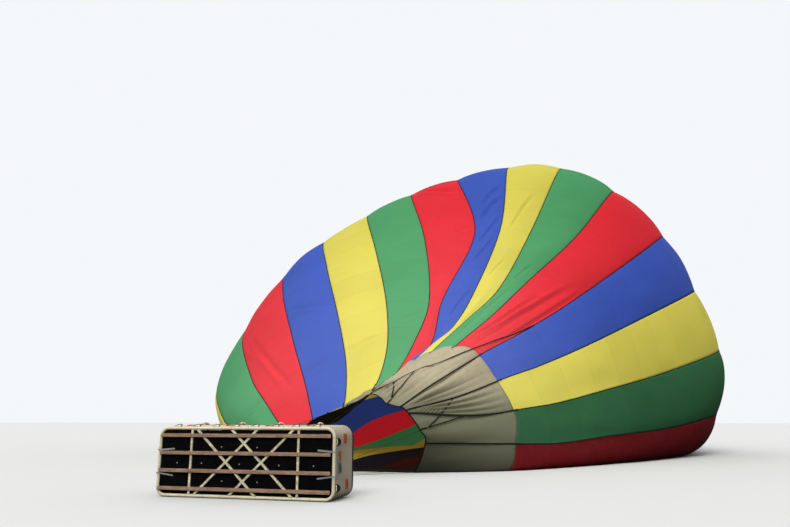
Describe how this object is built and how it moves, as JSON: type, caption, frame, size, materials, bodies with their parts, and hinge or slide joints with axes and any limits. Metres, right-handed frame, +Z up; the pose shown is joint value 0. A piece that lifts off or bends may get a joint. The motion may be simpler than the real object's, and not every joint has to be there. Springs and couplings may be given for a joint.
{
  "type": "hot air balloon",
  "caption": "Ride balloon being inflated: striped envelope half full of air on the ground, mouth towards a long wicker basket tipped on its side, with burners and flying wires.",
  "frame": {"origin": "centre of the ground footprint of the whole bounding box", "axes": "+Y from the basket to the crown of the envelope, +X to the right as seen from the basket, +Z up"},
  "size_m": [28.5466, 37.4922, 16.9765],
  "materials": {
    "yellow_ripstop": "matt coated nylon",
    "green_ripstop": "matt coated nylon",
    "red_ripstop": "matt coated nylon",
    "blue_ripstop": "matt coated nylon",
    "tan_heat_fabric": "matt heat-resistant fabric",
    "black_tape": "woven tape",
    "cane": "varnished cane",
    "black_leather": "satin",
    "wicker": "varnished wicker",
    "black_board": "painted board",
    "runner_wood": "worn wood",
    "slat_wood": "worn wood",
    "stainless": "satin",
    "cylinder_steel": "satin",
    "black_sleeve": "padded sleeve",
    "flying_wire": "sheathed wire"
  },
  "bodies": {
    "balloon": {"burner_frame": "stainless", "cane_border_roll": "cane", "cross_slat_left": "slat_wood", "cross_slat_right": "slat_wood", "crown_ring_and_vent_tapes": "black_tape", "diagonal_slats": "slat_wood", "floor_board": "black_board", "flying_wires_lower_left": "flying_wire", "flying_wires_lower_right": "flying_wire", "flying_wires_upper_left": "flying_wire", "flying_wires_upper_right": "flying_wire", "fuel_cylinder_1": "cylinder_steel", "fuel_cylinder_2": "cylinder_steel", "fuel_cylinder_3": "cylinder_steel", "fuel_cylinder_4": "cylinder_steel", "gore_01_yellow": "yellow_ripstop", "gore_02_green": "green_ripstop", "gore_03_red": "red_ripstop", "gore_04_blue": "blue_ripstop", "gore_05_yellow": "yellow_ripstop", "gore_06_green": "green_ripstop", "gore_07_red": "red_ripstop", "gore_08_blue": "blue_ripstop", "gore_09_yellow": "yellow_ripstop", "gore_10_green": "green_ripstop", "gore_11_red": "red_ripstop", "gore_12_blue": "blue_ripstop", "gore_13_yellow": "yellow_ripstop", "gore_14_green": "green_ripstop", "gore_15_red": "red_ripstop", "gore_16_blue": "blue_ripstop", "gore_17_yellow": "yellow_ripstop", "gore_18_green": "green_ripstop", "gore_19_red": "red_ripstop", "gore_20_blue": "blue_ripstop", "gore_21_yellow": "yellow_ripstop", "gore_22_green": "green_ripstop", "gore_23_red": "red_ripstop", "gore_24_blue": "blue_ripstop", "padded_rim": "black_leather", "parachute_valve": "yellow_ripstop", "partition_left": "wicker", "partition_right": "wicker", "tan_mouth_panels": "tan_heat_fabric", "upright_pole_1": "black_sleeve", "upright_pole_2": "black_sleeve", "upright_pole_3": "black_sleeve", "upright_pole_4": "black_sleeve", "wicker_walls": "wicker", "wooden_runner_1": "runner_wood", "wooden_runner_2": "runner_wood", "wooden_runner_3": "runner_wood", "wooden_runner_4": "runner_wood"},
    "yoke": {"gimbal_yoke": "stainless"},
    "burners": {"burner_block": "stainless"}
  },
  "joints": [
    {"name": "gimbal_pitch", "type": "hinge", "parent": "balloon", "child": "yoke", "pos_m": [-1.186, -16.546, 0.8], "axis": [1, 0, 0], "range_deg": [-12, 12]},
    {"name": "burner_roll", "type": "hinge", "parent": "yoke", "child": "burners", "pos_m": [-1.186, -16.546, 0.8], "axis": [0, 0, 1], "range_deg": [-10, 10]}
  ]
}
